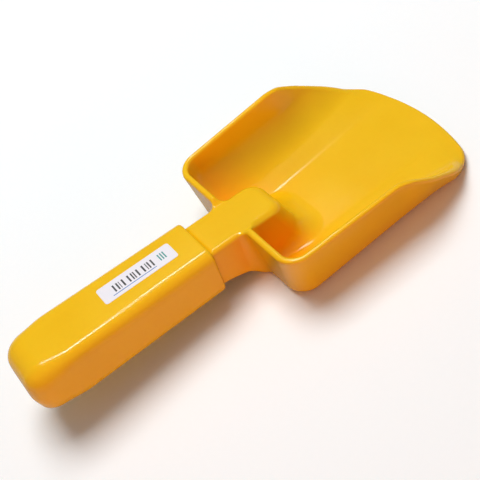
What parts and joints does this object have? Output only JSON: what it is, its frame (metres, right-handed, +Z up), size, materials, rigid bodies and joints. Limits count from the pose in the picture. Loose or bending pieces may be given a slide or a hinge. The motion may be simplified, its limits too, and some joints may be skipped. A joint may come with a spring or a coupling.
{
  "type": "sand scoop",
  "caption": "Open-fronted moulded plastic scoop with flat floor, slanted side rims, channel neck and a rounded push-on grip, for digging and lifting loose sand.",
  "frame": {"origin": "on the flat under the bowl, on the middle plane, 62 mm in front of the bowl's back rim", "axes": "+Z up, +Y out of the bowl's mouth, away from the grip, +X to the right"},
  "size_m": [0.1118, 0.2394, 0.0445],
  "materials": {
    "body_plastic": "warm yellow moulded polypropylene, semi-gloss",
    "grip_plastic": "warm yellow moulded polypropylene, semi-gloss",
    "label_film": "printed white self-adhesive film, satin"
  },
  "bodies": {
    "root": {"scoop_body": "body_plastic", "grip_sleeve": "grip_plastic", "label": "label_film"}
  },
  "joints": []
}
